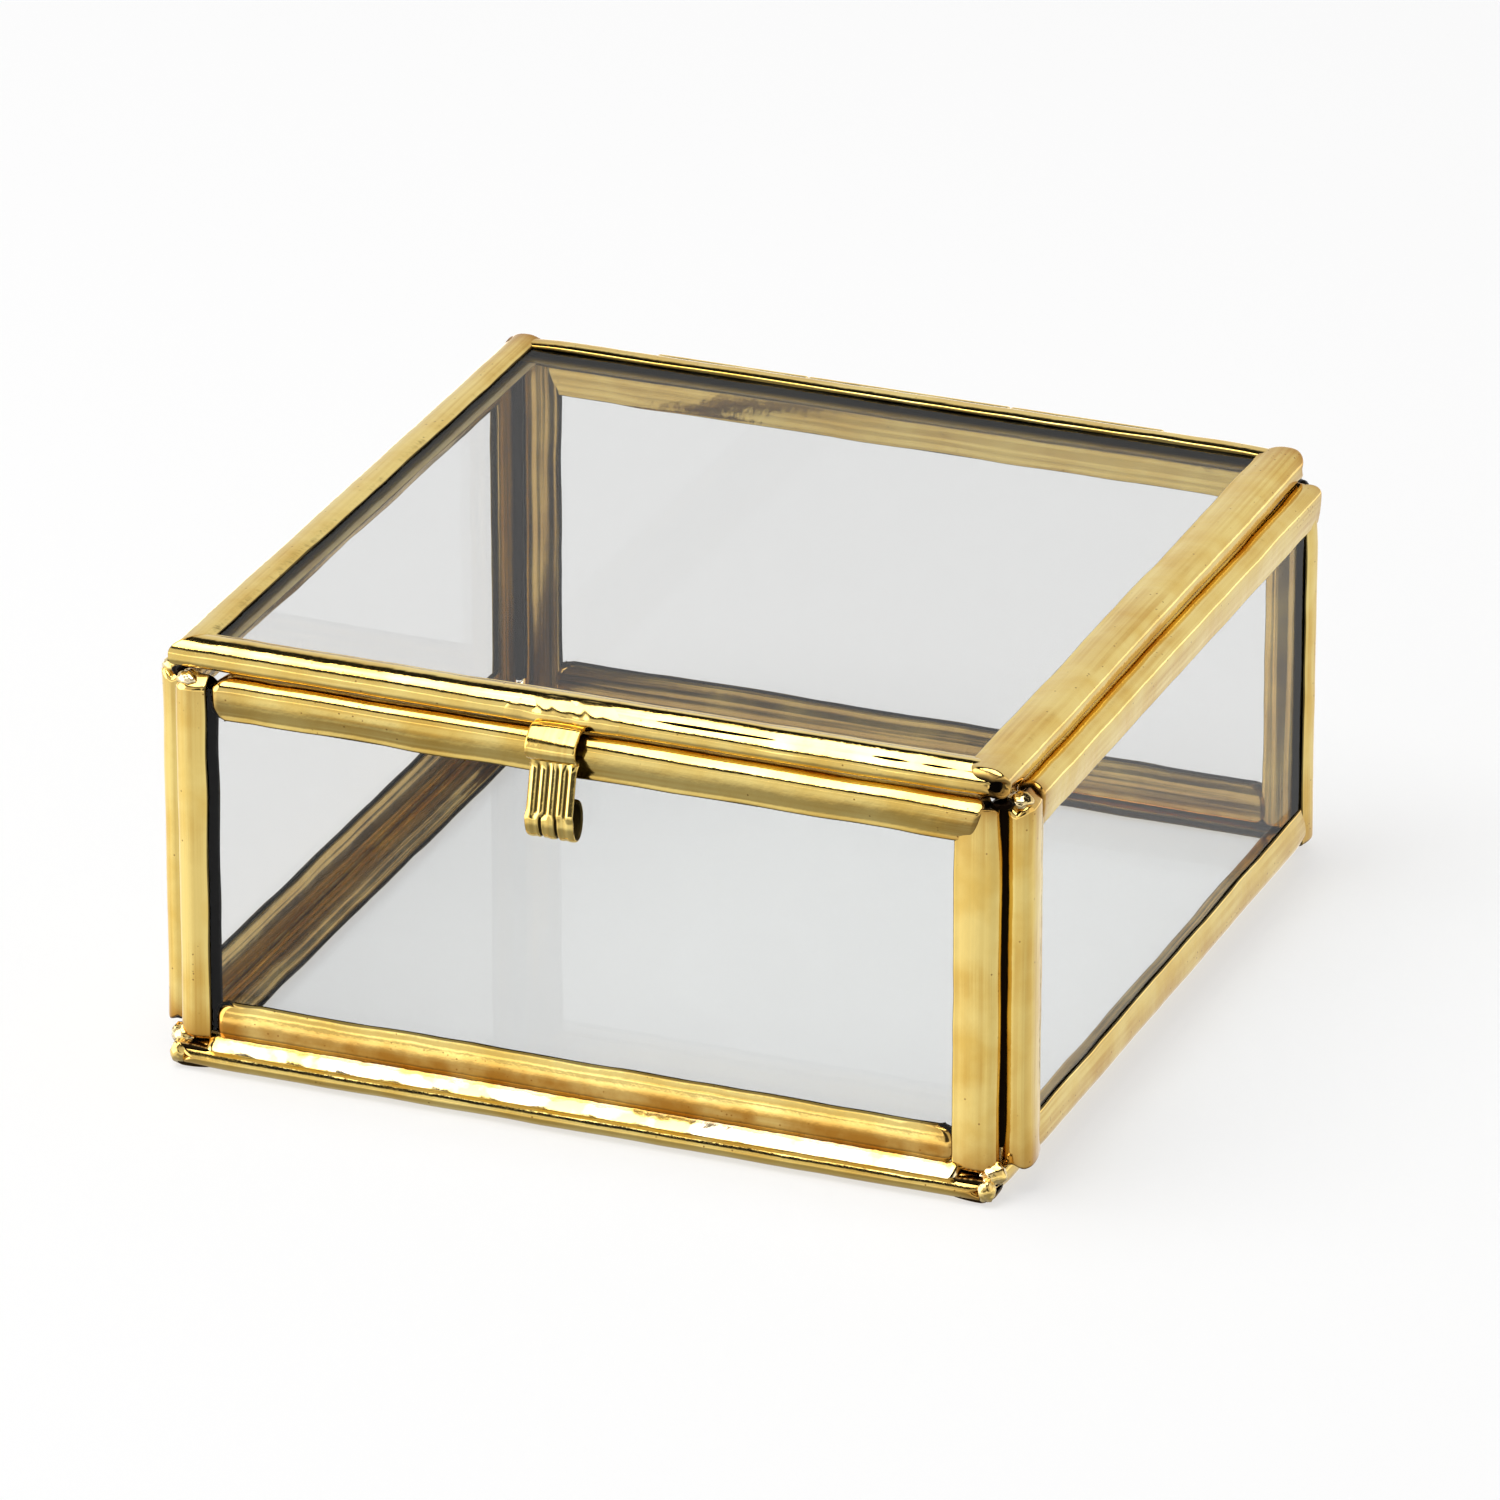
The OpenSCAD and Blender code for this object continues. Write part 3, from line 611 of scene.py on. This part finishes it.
def make_seams():
    """The runs of solder between the panes and the drops at the base's corners."""
    corners = {"front_left": (-1, -1), "front_right": (1, -1), "back_left": (-1, 1), "back_right": (1, 1)}
    foot, top = wall_low[2], wall_high[2]
    for number, (name, (sx, sy)) in enumerate(corners.items()):
        x, y = sx * front_high[0], sy * side_high[1]
        run = bead((x, y, foot + 2), (x, y, top - 0.2), CORNER_RUN_R, 100 + number, 0.08)
        filled = blob((x + 0.2 * sx, y + 0.2 * sy, top - 0.6), (1.2, 1.2, 0.6), 110 + number, 0.1)
        caps = [blob((centre[0] * sx, centre[1] * sy, top - 0.55), (1.4, 1.4, 0.8), 115 + number, 0.1)
                for centre in CAPPED.get(name, [])]
        # The runs up the corners and the fills at their tops are painted black as shade in the corner grooves
        solder(f"{name}_seam_solder", [run, filled, *caps], "casket", f"corner_solder_{name}", 0.3,
               (1.0, 1.0, 0.0), 0.6)
    for number, name in enumerate(("front", "back", "left", "right")):
        low, high = corners_mm(f"base_solder_{name}")
        if name in ("front", "back"):
            y = (front_low[1] + 0.25) * (1 if name == "front" else -1)
            ramp = bead((low[0], y, foot - 0.3), (high[0], y, foot - 0.3), seed=120 + number,
                        lump=SEAM_LUMP, **FOOT_RAMP)
            solder(f"base_{name}_seam_solder", [ramp], "casket", f"base_solder_{name}", 0.15, silver=0.8)
        else:
            x = (low[0] + high[0]) / 2
            fill = bead((x, low[1], foot), (x, high[1], foot), SIDE_FILL_R, 120 + number, SEAM_LUMP)
            # The fills under the side walls are darkened as painted shade in the seam
            solder(f"base_{name}_seam_solder", [fill], "casket", f"base_solder_{name}", 0.8, (0.6,), 0.2)
    drops = []
    for number, (sx, sy) in enumerate(corners.values()):
        under_wall = (sx * front_high[0], sy * (wall_high[1] - 1.3), foot - 0.2)
        on_base = (sx * (base_high[0] - 0.9), sy * (base_high[1] - 1.0), foot / 2 + 0.1)
        drops.append(blob(under_wall, (1.5, 1.5, 1.3), 130 + number, 0.14))
        drops.append(blob(on_base, (1.0, 1.1, 1.3), 135 + number, 0.1))
    solder("base_corner_drops", drops, "casket", "base_corner_solder", 0.35, silver=0.8)


def make_hinge_solder():
    """The solder under the two rear tubes and between the middle tube and the lid."""
    joins = [("hinge_left_tube_solder", "hinge_solder_left", "casket"),
             ("hinge_right_tube_solder", "hinge_solder_right", "casket"),
             ("lid_tube_solder", "lid_hinge_solder", "lid")]
    for number, (name, node, body) in enumerate(joins):
        low, high = corners_mm(node)
        _, y, z = (low + high) / 2
        run = bead((low[0], y, z), (high[0], y, z), min(high[1:] - low[1:]) / 2 - 0.1, 150 + number, 0.1)
        solder(name, [run], body, node, 0.7)


def make_tab_solder():
    """The smear that holds the tab: a sheet over the bend of the lid's front strip, 14 mm long, whose
    height over the brass is a ripple that dies away towards its edges."""
    low, high = corners_mm("latch_solder")
    half, own = CHANNEL_T / 2, {**USUAL, **OWN["lid_front"]}
    s = np.linspace(0, 1, 72)[:, None]
    turn = np.radians(np.linspace(-75, 78, 34))
    border = np.sin(math.pi * s) ** 0.5 * np.cos((turn - 0.03) * 90 / 78) ** 0.6
    lumps = 0.5 + ripple(14 * s, 2 * turn, 141, 7, 0.4)
    over = border * (0.06 + 0.26 * lumps) - 0.06
    x = low[0] + s * (high[0] - low[0]) + 0.3 * np.sin(3 * turn)
    share = ease((x - lid_low[0]) / (lid_high[0] - lid_low[0]), 0.35, 0.65)
    bend = np.where(turn > 0, own["outer_bend"] + share * (BEVELLED - own["outer_bend"]), own["inner_bend"])
    y = lid_low[1] + own["nose"] * (1 - np.cos(turn) ** bend)
    z = lid_low[2] + half + half * np.sign(turn) * np.abs(np.sin(turn)) ** bend
    rows = [np.stack([x, y - rise * np.cos(turn), z + rise * np.sin(turn)], axis=-1)
            for rise in (over, 0 * over - SMEAR_SINK)]
    smear = closed_rings(np.concatenate([rows[0], rows[1][:, ::-1]], axis=1))
    solder("tab_holding_solder", [smear], "lid", "latch_solder", 0.25)


make_seams()
make_hinge_solder()
make_tab_solder()

# ---- Spring tab ----

TAB_T = 0.45
LEG_FROM = np.array([0.55, 2.3])  # the pinch: outwards from the front pane, and down from the wall tops
LEG_L, LEG_LEAN = 6.0, math.radians(14)
BULGE_FROM, BULGE_TO = math.radians(-120), math.radians(85)
RAMP, RAMP_SPREAD = math.radians(-52), math.radians(11)  # the bulge is flatter round this direction
BULGE_R, RAMP_R = 1.3, 4.5
ROLL_DEEP, ROLL_TALL = 1.35, 2.2
ROLL_TO = math.radians(235)
TWIST = 0.12  # how much the leg's right edge stands out, as a share of its way from the middle
RIBS, RIB_H = 5, 0.11
RIB_FADE = 0.7  # the share of the ribs' height that is lost in the roll
TAB_CROWN = 0.1  # how much the bulge is domed across its width
BACK_FOLLOWS = 0.6  # how much of the front's relief shows at the back
TAB_LEAST = 0.15  # the least thickness between front and back
TAB_SEED = 77

# The grooves pressed down the leg between its five ribs: place across the width on the leg and in the
# roll, depth there and there, and width, all as shares of the tab's width
GROOVES = [(-0.3, -0.35, 0.018, 0.0, 0.03), (-0.1, -0.19, 0.02, 0.07, 0.03), (0.1, 0.13, 0.02, 0.06, 0.03),
           (0.3, 0.36, 0.018, 0.0, 0.03)]


def bent_line(turn, radius):
    """Points on a bent line, in the tab's side view, from its radius at each direction that its outer side
    faces: the sum of the short steps between the directions. Returned with those directions."""
    out = np.stack([np.cos(turn), np.sin(turn)], axis=1)
    ahead = np.stack([-np.sin(turn), np.cos(turn)], axis=1)
    steps = (ahead[1:] + ahead[:-1]) / 2 * (np.diff(turn) * (radius[1:] + radius[:-1]) / 2)[:, None]
    return np.concatenate([[[0, 0]], np.cumsum(steps, axis=0)]), out


def tab_line():
    """The middle of the tab's strip from the side: a bulge over the gap, a straight leg, and an oval roll
    behind its end. Returned with the direction out of its front at each point, and with the numbers of the
    points where the leg and the roll begin."""
    turn = np.linspace(BULGE_FROM, BULGE_TO, 60)
    flat = np.exp(-((turn - RAMP) / RAMP_SPREAD) ** 2)
    bulge, bulge_out = bent_line(turn, BULGE_R + (RAMP_R - BULGE_R) * flat)
    bulge = bulge - bulge[-1] + LEG_FROM
    leg_out = np.array([math.cos(LEG_LEAN), -math.sin(LEG_LEAN)])
    leg_down = np.array([math.sin(LEG_LEAN), math.cos(LEG_LEAN)])
    leg = LEG_FROM + np.linspace(0.3, LEG_L, 30)[:, None] * leg_down
    turn = np.linspace(-LEG_LEAN, ROLL_TO, 60)
    stretch = (ROLL_DEEP * np.cos(turn)) ** 2 + (ROLL_TALL * np.sin(turn)) ** 2
    oval = (ROLL_DEEP * ROLL_TALL) ** 2 / stretch ** 1.5
    roll, roll_out = bent_line(turn, oval)
    line = np.concatenate([bulge, leg, roll[1:] + leg[-1]])
    face = np.concatenate([bulge_out, leg_out + 0 * leg, roll_out[1:]])
    return line, face, len(bulge), len(bulge) + len(leg)


def make_tab():
    """The brass tab: a strip with rounded edges, pressed into ribs below the pinch, carried along the side
    line. Each groove is a bell curve across the width."""
    width, middle_x = tab_high[0] - tab_low[0], (tab_high[0] + tab_low[0]) / 2
    line, face, leg_from, roll_from = tab_line()
    steps = np.concatenate([[0], np.cumsum(np.linalg.norm(np.diff(line, axis=0), axis=1))])
    across = np.sin(np.linspace(-math.pi / 2, math.pi / 2, 101)) * width / 2
    from_edge = np.clip((np.abs(across) - width / 2 + TAB_T / 2) / (TAB_T / 2), 0, 1)
    edge = np.sqrt(1 - from_edge ** 2)
    pressed = ease(steps, steps[leg_from] - 0.2, steps[leg_from] + 0.8)[:, None]
    rolled = ease(steps, steps[roll_from] - 0.4, steps[roll_from] + 0.4)[:, None]
    groove = np.zeros((len(steps), len(across)))
    for on_leg, in_roll, leg_depth, roll_depth, spread in GROOVES:
        at = (on_leg + (in_roll - on_leg) * rolled) * width
        depth = (leg_depth + (roll_depth - leg_depth) * rolled) * width
        groove += depth * np.exp(-((across - at) / (spread * width)) ** 2)
    ribs = RIB_H * np.cos(across / width * RIBS * math.tau) * (1 - RIB_FADE * rolled)
    domed = TAB_CROWN * (1 - (2 * across / width) ** 2) * (1 - pressed)
    rise = (ribs - groove) * pressed + domed
    front = (TAB_T / 2 + rise) * edge
    back = np.minimum(-TAB_T / 2 + BACK_FOLLOWS * rise, front - TAB_LEAST) * edge
    offset = np.concatenate([front, back[:, -2:0:-1]], axis=1)
    x = np.concatenate([across, across[-2:0:-1]]) * (1 - 0.03 * pressed)
    side = line[:, None, :] + offset[..., None] * face[:, None, :]
    side[..., 0] += TWIST * x * pressed * (1 - rolled)
    place = np.stack([middle_x + x + 0 * offset, front_low[1] - side[..., 0], wall_high[2] - side[..., 1]],
                     axis=-1)
    points, quads, caps = closed_rings(place)
    behind = np.concatenate([np.zeros(len(across)), np.ones(len(across) - 2)])
    hollow = np.concatenate([groove, groove[:, -2:0:-1]], axis=1) * pressed
    valley = np.concatenate([ribs, 0 * ribs[:, -2:0:-1]], axis=1) * pressed
    # Painted shade: black on the tab's back and in the grooves between its ribs
    painted_shade = np.maximum(0.9 * behind, ease(hollow - valley, 0.05, 0.2) * 0.95)
    laid_out = np.stack([steps[:, None] + 0 * x, x, 0 * x + TAB_SEED], axis=-1).reshape(-1, 3)
    values = {"strip": np.concatenate([laid_out, [[0, 0, TAB_SEED]] * 2]),
              "inside": np.zeros(len(points)), "painted_shade": np.append(painted_shade.ravel(), [1, 1]),
              "joint": np.append((0.5 * np.exp(-steps / 1.5)[:, None] + 0 * x).ravel(), [0, 0])}
    piece("spring_tab", [(points, (quads, caps), values)], BRASS, "latch", ["latch_tab"])


make_tab()

# ---- Hinge ----

TUBE_POINTS = 64
TUBE_END = 0.3  # length of a tube's worn end
BORE_IN = 0.35  # from the radius of the wire's heads in to the tubes' bore
WIRE_IN = 0.4  # from the radius of the wire's heads in to the wire
WIRE_POINTS = 32
HEAD_ROUND, HEAD_L = 0.3, 0.695  # a head's rounded length and its whole length


def brass_values(points, seed):
    """What the brass reads on a clean piece that isn't a channel strip."""
    none = np.zeros(len(points))
    run = np.stack([points[:, 0], points[:, 1] + points[:, 2], none + seed], axis=1)
    return {"strip": run, "inside": none, "painted_shade": none, "joint": none + 0.1}


def rolled_tube(node, seed):
    """A hinge tube rolled from sheet: an outer and an inner circle carried along X, with a groove along the
    outside where the sheet's edges meet, and worn round at the ends."""
    low, high = corners_mm(node)
    centre, radius, length = (low + high) / 2, (high[1] - low[1]) / 2, high[0] - low[0]
    wire_low, wire_high = corners_mm("hinge_wire")
    bore = (wire_high[1] - wire_low[1]) / 2 - BORE_IN
    turn = np.arange(TUBE_POINTS) * math.tau / TUBE_POINTS
    tip = np.array([0, 0.03, 0.09, 0.18, 0.3])
    middle = np.linspace(TUBE_END, length - TUBE_END, 20)[1:-1]
    along = np.concatenate([tip, middle, length - tip[::-1]])[:, None]
    gap = np.clip(np.minimum(along, length - along) / TUBE_END, 0, 1)
    size = radius * (1 - 0.12 * np.exp(-((turn - 2.2) / 0.07) ** 2) - 0.1 * (1 - np.sqrt(1 - (1 - gap) ** 2)))
    size = size - np.abs(ripple(along, 2 * turn, seed, 9, 0.012))
    sizes = np.concatenate([size, 0 * size + bore])
    places = np.concatenate([along, along[::-1]])
    rings = np.stack([low[0] + places + 0 * sizes, centre[1] + sizes * np.cos(turn),
                      centre[2] + sizes * np.sin(turn)], axis=-1)
    points = rings.reshape(-1, 3)
    quads = tube_faces(len(rings) + 1, TUBE_POINTS) % len(points)
    return points, (quads,), brass_values(points, seed)


def headed_wire(seed):
    """The hinge wire: a round rod with a hammered head at each end, whose outline is a quarter circle and
    a step."""
    low, high = corners_mm("hinge_wire")
    centre, length, head_r = (low + high) / 2, high[0] - low[0], (high[1] - low[1]) / 2
    tip = np.array([0.01, 0.04, 0.09, 0.16, 0.26, 0.4, 0.55, 0.64, 0.69, 0.7])
    along = np.concatenate([tip, np.linspace(0.8, length - 0.8, 30), length - tip[::-1]])
    inset = np.minimum(along, length - along)
    dome = head_r * np.sqrt(1 - (1 - np.clip(inset / HEAD_ROUND, 0, 1)) ** 2)
    head = (inset < HEAD_L)[:, None]
    size = np.where(head, dome[:, None], head_r - WIRE_IN)
    turn = np.arange(WIRE_POINTS) * math.tau / WIRE_POINTS
    size = size * (1 - np.abs(ripple(along[:, None], turn, seed, 3, 0.05)) * head)
    place = np.stack([low[0] + along[:, None] + 0 * size, centre[1] + size * np.cos(turn),
                      centre[2] + size * np.sin(turn)], axis=-1)
    points, quads, caps = closed_rings(place)
    return points, (quads, caps), brass_values(points, seed)


HINGE_TUBES = [("hinge_left_tube", "hinge_tube_left", "casket"),
               ("hinge_right_tube", "hinge_tube_right", "casket"),
               ("lid_middle_tube", "lid_hinge_tube", "lid")]
for number, (name, node, body) in enumerate(HINGE_TUBES):
    piece(name, [rolled_tube(node, 200 + number)], BRASS, body, [node])
piece("hinge_pin_wire", [headed_wire(210)], BRASS, "casket", ["hinge_wire"])

# ---- Glass ----

for pane in PANES:
    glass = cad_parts[f"{pane}_glass"]
    glass.data.materials.clear()
    glass.data.materials.append(GLASS)

# ---- Studio ----

CAMERA_AT = Vector((0.4601, -1.1566, 0.5789))
AIM_AT = Vector((0.0, 0.0, 0.0245))
LENS, SENSOR = 298, 36
SOFTBOX_HEIGHT, SOFTBOX_R, SOFTBOX_Y = 1.15, 0.74, -0.2
SOFTBOX_POINTS = 96
LAMP_AT, LAMP_SIZE, LAMP_WATTS = (-0.3, -0.2, 1.1), 1.0, 8.8
FLOOR_GLOW = 0.62  # how much of the floor's look is even white and not lit paper
RIGHT_WAY = (0.966, -0.259, 0.0)
# The side softboxes: turn from the front in degrees, how close a direction comes to it, and brightness
SIDE_BOXES = ((-62, 0.86, 4.5), (100, 0.92, 1.8))
SIDE_BOX_HEIGHT, SIDE_BOX_EDGE = 0.25, 0.03
FLAG_WAY = (0.37, -0.929, 0.0)  # a black flag stands in this direction


def stage_piece(name, points, faces, material):
    """An object of the studio, in metres."""
    mesh = bpy.data.meshes.new(name)
    mesh.from_pydata(points, [], faces)
    mesh.materials.append(material)
    made = bpy.data.objects.new(name, mesh)
    bpy.context.scene.collection.objects.link(made)
    return made


def make_floor():
    """A sheet of white paper that fills the view from any side and takes the box's shadow."""
    material, node = new_tree("white_paper")
    paper = node("BsdfDiffuse", {"Color": linear("#F6F6F6")})
    glow = node("Emission", {"Strength": 1.0})
    seen = node("Math", {0: node("LightPath", output="Is Camera Ray"),
                         1: node("LightPath", output="Is Transmission Ray")}, operation="MAXIMUM")
    share = node("Math", {0: seen, 1: FLOOR_GLOW}, operation="MULTIPLY")
    node("OutputMaterial", {"Surface": node("MixShader", {0: share, 1: paper, 2: glow})})
    half = 12.0
    floor = stage_piece("floor", [(-half, -half, 0), (half, -half, 0), (half, half, 0), (-half, half, 0)],
                        [(0, 1, 2, 3)], material)
    floor.visible_glossy = False


def make_softbox():
    """The round softbox overhead: a bright disc that only reflections see, and a lamp a little to its left
    and below it."""
    material, node = new_tree("softbox_cloth")
    node("OutputMaterial", {"Surface": node("Emission", {"Strength": 4.5})})
    turn = np.arange(SOFTBOX_POINTS) * math.tau / SOFTBOX_POINTS
    rim = np.stack([SOFTBOX_R * np.cos(turn), SOFTBOX_R * np.sin(turn) + SOFTBOX_Y,
                    0 * turn + SOFTBOX_HEIGHT], axis=1)
    disc = stage_piece("softbox_disc", rim, [tuple(range(SOFTBOX_POINTS))], material)
    disc.visible_camera = disc.visible_diffuse = disc.visible_transmission = disc.visible_shadow = False
    lamp = bpy.data.lights.new("softbox_lamp", "AREA")
    lamp.shape = "DISK"
    lamp.size = LAMP_SIZE
    lamp.energy = LAMP_WATTS
    holder = bpy.data.objects.new("softbox_lamp", lamp)
    holder.location = LAMP_AT
    holder.rotation_euler = (AIM_AT - holder.location).to_track_quat("-Z", "Y").to_euler()
    holder.visible_glossy = False
    bpy.context.scene.collection.objects.link(holder)


def make_world():
    """The studio that the brass mirrors: white walls and table, a black ceiling, a black flag at the
    front, and two side softboxes. What is seen straight on or through glass is plain white."""
    world = bpy.data.worlds.new("studio")
    bpy.context.scene.world = world
    world.use_nodes = True
    world.node_tree.nodes.clear()
    node = partial(add, world.node_tree)
    way = node("TexCoord", output="Generated")
    height = node("SeparateXYZ", {0: way}, "Z")
    # The walls end in the black ceiling
    walls = node("MapRange", {0: height, 1: 0.54, 2: 0.64, 3: 1.12, 4: 0.02})
    # The flag is black near its own direction
    facing = node("VectorMath", {0: way, 1: FLAG_WAY}, "Value", operation="DOT_PRODUCT")
    dim = node("MapRange", {0: facing, 1: 0.86, 2: 0.93, 3: 1.0, 4: 0.08})
    room = node("Math", {0: walls, 1: dim}, operation="MULTIPLY")
    # The table is brighter to the left, darker near the feet and to the far right, and bright at its edge
    right = node("VectorMath", {0: way, 1: RIGHT_WAY}, "Value", operation="DOT_PRODUCT")
    table = node("MapRange", {0: right, 1: -0.5, 2: 0.0, 3: 1.5, 4: 1.1})
    shaded = node("MapRange", {0: right, 1: 0.6, 2: 0.95, 3: 1.0, 4: 0.85})
    near_feet = node("MapRange", {0: height, 1: -0.66, 2: -0.48, 3: 0.4, 4: 1.0})
    edge = node("MapRange", {0: height, 1: -0.24, 2: -0.14, 3: 1.0, 4: 2.0})
    for share in (shaded, near_feet, edge):
        table = node("Math", {0: table, 1: share}, operation="MULTIPLY")
    above = node("MapRange", {0: height, 1: -0.08, 2: -0.03})
    room = node("Mix", {0: above, 2: table, 3: room})
    for turn, spread, strength in SIDE_BOXES:
        at = (math.sin(math.radians(turn)), -math.cos(math.radians(turn)), SIDE_BOX_HEIGHT)
        near = node("VectorMath", {0: way, 1: at}, "Value", operation="DOT_PRODUCT")
        box = node("MapRange", {0: near, 1: spread, 2: spread + SIDE_BOX_EDGE, 3: 0.0, 4: strength})
        room = node("Math", {0: room, 1: box}, operation="MAXIMUM")
    # Straight views and views through glass are plain white, but not those that a mirror image leads to
    paths = node("LightPath", output="Is Camera Ray")
    through = node("LightPath", output="Is Transmission Ray")
    mirrored = node("Math", {0: node("LightPath", output="Glossy Depth"), 1: 0.5}, operation="GREATER_THAN")
    through = node("Math", {0: through, 1: mirrored}, operation="SUBTRACT", use_clamp=True)
    plain = node("Math", {0: paths, 1: through}, operation="MAXIMUM")
    strength = node("Mix", {0: node("LightPath", output="Is Diffuse Ray"), 2: room, 3: 0.5})
    strength = node("Mix", {0: plain, 2: strength, 3: 1.0})
    node("OutputWorld", {"Surface": node("Background", {"Strength": strength})})


def make_camera():
    """The camera stands where the photograph's stood, and is aimed at the middle of the box."""
    data = bpy.data.cameras.new("camera")
    data.lens = LENS
    data.sensor_width = SENSOR
    data.clip_start, data.clip_end = 0.05, 50
    holder = bpy.data.objects.new("camera", data)
    holder.location = CAMERA_AT
    holder.rotation_euler = (AIM_AT - CAMERA_AT).to_track_quat("-Z", "Y").to_euler()
    bpy.context.scene.collection.objects.link(holder)
    bpy.context.scene.camera = holder


make_camera()
make_floor()
make_softbox()
make_world()
bpy.context.scene.view_settings.view_transform = "Standard"
